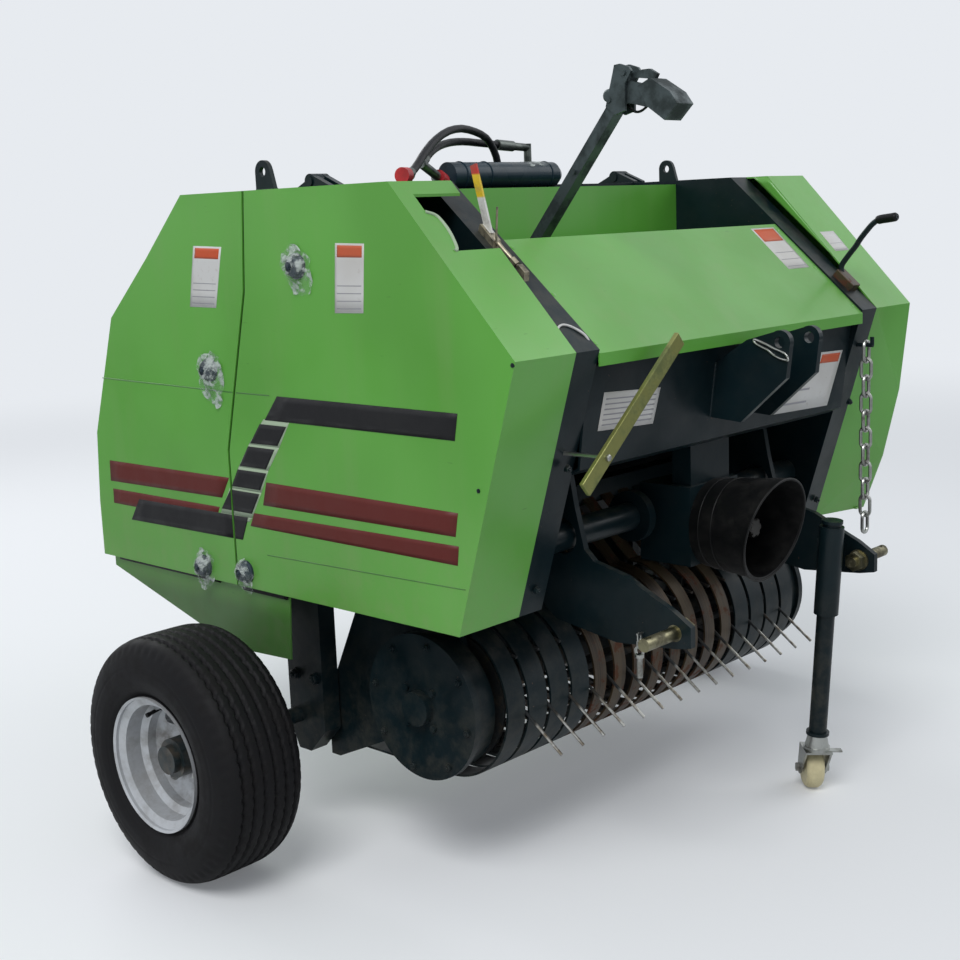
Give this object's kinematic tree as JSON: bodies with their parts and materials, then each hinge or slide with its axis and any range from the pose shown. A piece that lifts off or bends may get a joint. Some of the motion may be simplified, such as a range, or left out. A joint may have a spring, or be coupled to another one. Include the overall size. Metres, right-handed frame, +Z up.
{
  "type": "round baler",
  "caption": "Small trailed round baler: green side shields, slanted hood, tined pickup, three-point hitch, input shaft with guard, two wheels and a parking jack.",
  "frame": {"origin": "on the ground, in the middle of the machine's length and width", "axes": "+Z up, -Y forwards to the tractor, -X the machine's right side, seen from behind it looking forwards"},
  "size_m": [1.66, 1.247, 1.3588],
  "materials": {
    "green_paint": "gloss paint, dusty low down",
    "dark_paint": "dark blue-green gloss paint, scuffed",
    "tyre_rubber": "dusty tread rubber",
    "rim_silver": "silver wheel paint, dull",
    "zinc_steel": "zinc plated",
    "brass_zinc": "yellow passivated",
    "olive_steel": "olive passivated",
    "band_steel": "brown and olive, weathered",
    "black_plastic": "matt",
    "hose_rubber": "smooth hose cover, dull",
    "nylon": "cream nylon",
    "red_paint": "red, yellow and white bands"
  },
  "bodies": {
    "baler": {"side_frame_right": "dark_paint", "side_frame_left": "dark_paint", "cross_tubes": "dark_paint", "front_plate": "dark_paint", "hood": "green_paint", "twine_box": "green_paint", "roof_sheet": "dark_paint", "shield_front_right": "green_paint", "shield_front_left": "green_paint", "hinge_ears": "dark_paint", "lugs": "dark_paint", "axle_beam": "dark_paint", "stripper_bands": "band_steel", "pickup_frame": "dark_paint", "pickup_covers": "dark_paint", "hitch_plates": "dark_paint", "hitch_pins": "brass_zinc", "linch_pins": "zinc_steel", "top_link_ears": "dark_paint", "gearbox": "dark_paint", "pto_guard": "black_plastic", "jack_sleeve": "dark_paint", "shaft_rest": "olive_steel", "chain": "zinc_steel", "crank_lever": "dark_paint", "indicator": "red_paint", "arm": "olive_steel", "canister": "black_plastic", "hose_fittings": "olive_steel", "hose_outer": "hose_rubber", "hose_inner": "hose_rubber"},
    "tailgate": {"tailgate_frame": "dark_paint", "tailgate_cover": "green_paint", "shield_tailgate_right": "green_paint", "shield_tailgate_left": "green_paint", "skirts": "green_paint"},
    "wheel_right": {"tyre_right": "tyre_rubber", "rim_right": "rim_silver"},
    "wheel_left": {"tyre_left": "tyre_rubber", "rim_left": "rim_silver"},
    "pickup_reel": {"pickup_reel": "zinc_steel"},
    "input_shaft": {"pto_shaft": "zinc_steel"},
    "jack_leg": {"jack_leg": "dark_paint"},
    "caster": {"caster_fork": "zinc_steel"},
    "caster_wheel": {"caster_wheel": "nylon"}
  },
  "joints": [
    {"name": "wheel_right_spin", "type": "hinge", "parent": "baler", "child": "wheel_right", "pos_m": [-0.742, 0.1625, 0.22], "axis": [1, 0, 0], "continuous": true},
    {"name": "wheel_left_spin", "type": "hinge", "parent": "baler", "child": "wheel_left", "pos_m": [0.742, 0.1625, 0.22], "axis": [1, 0, 0], "continuous": true},
    {"name": "tailgate_hinge", "type": "hinge", "parent": "baler", "child": "tailgate", "pos_m": [0, 0.0975, 1.198], "axis": [1, 0, 0], "range_deg": [0, 70]},
    {"name": "reel_spin", "type": "hinge", "parent": "baler", "child": "pickup_reel", "pos_m": [0, -0.1835, 0.31], "axis": [1, 0, 0], "continuous": true},
    {"name": "input_shaft_spin", "type": "hinge", "parent": "baler", "child": "input_shaft", "pos_m": [0, -0.4355, 0.568], "axis": [0, 1, 0], "continuous": true},
    {"name": "jack_slide", "type": "slide", "parent": "baler", "child": "jack_leg", "axis": [0, -0.0698, 0.9976], "range_m": [0, 0.2]},
    {"name": "caster_swivel", "type": "hinge", "parent": "jack_leg", "child": "caster", "pos_m": [0.225, -0.51517, 0.10973], "axis": [0, -0.0698, 0.9976], "continuous": true},
    {"name": "caster_spin", "type": "hinge", "parent": "caster", "child": "caster_wheel", "pos_m": [0.24083, -0.49498, 0.04], "axis": [0.6947, -0.7176, -0.0502], "continuous": true}
  ]
}
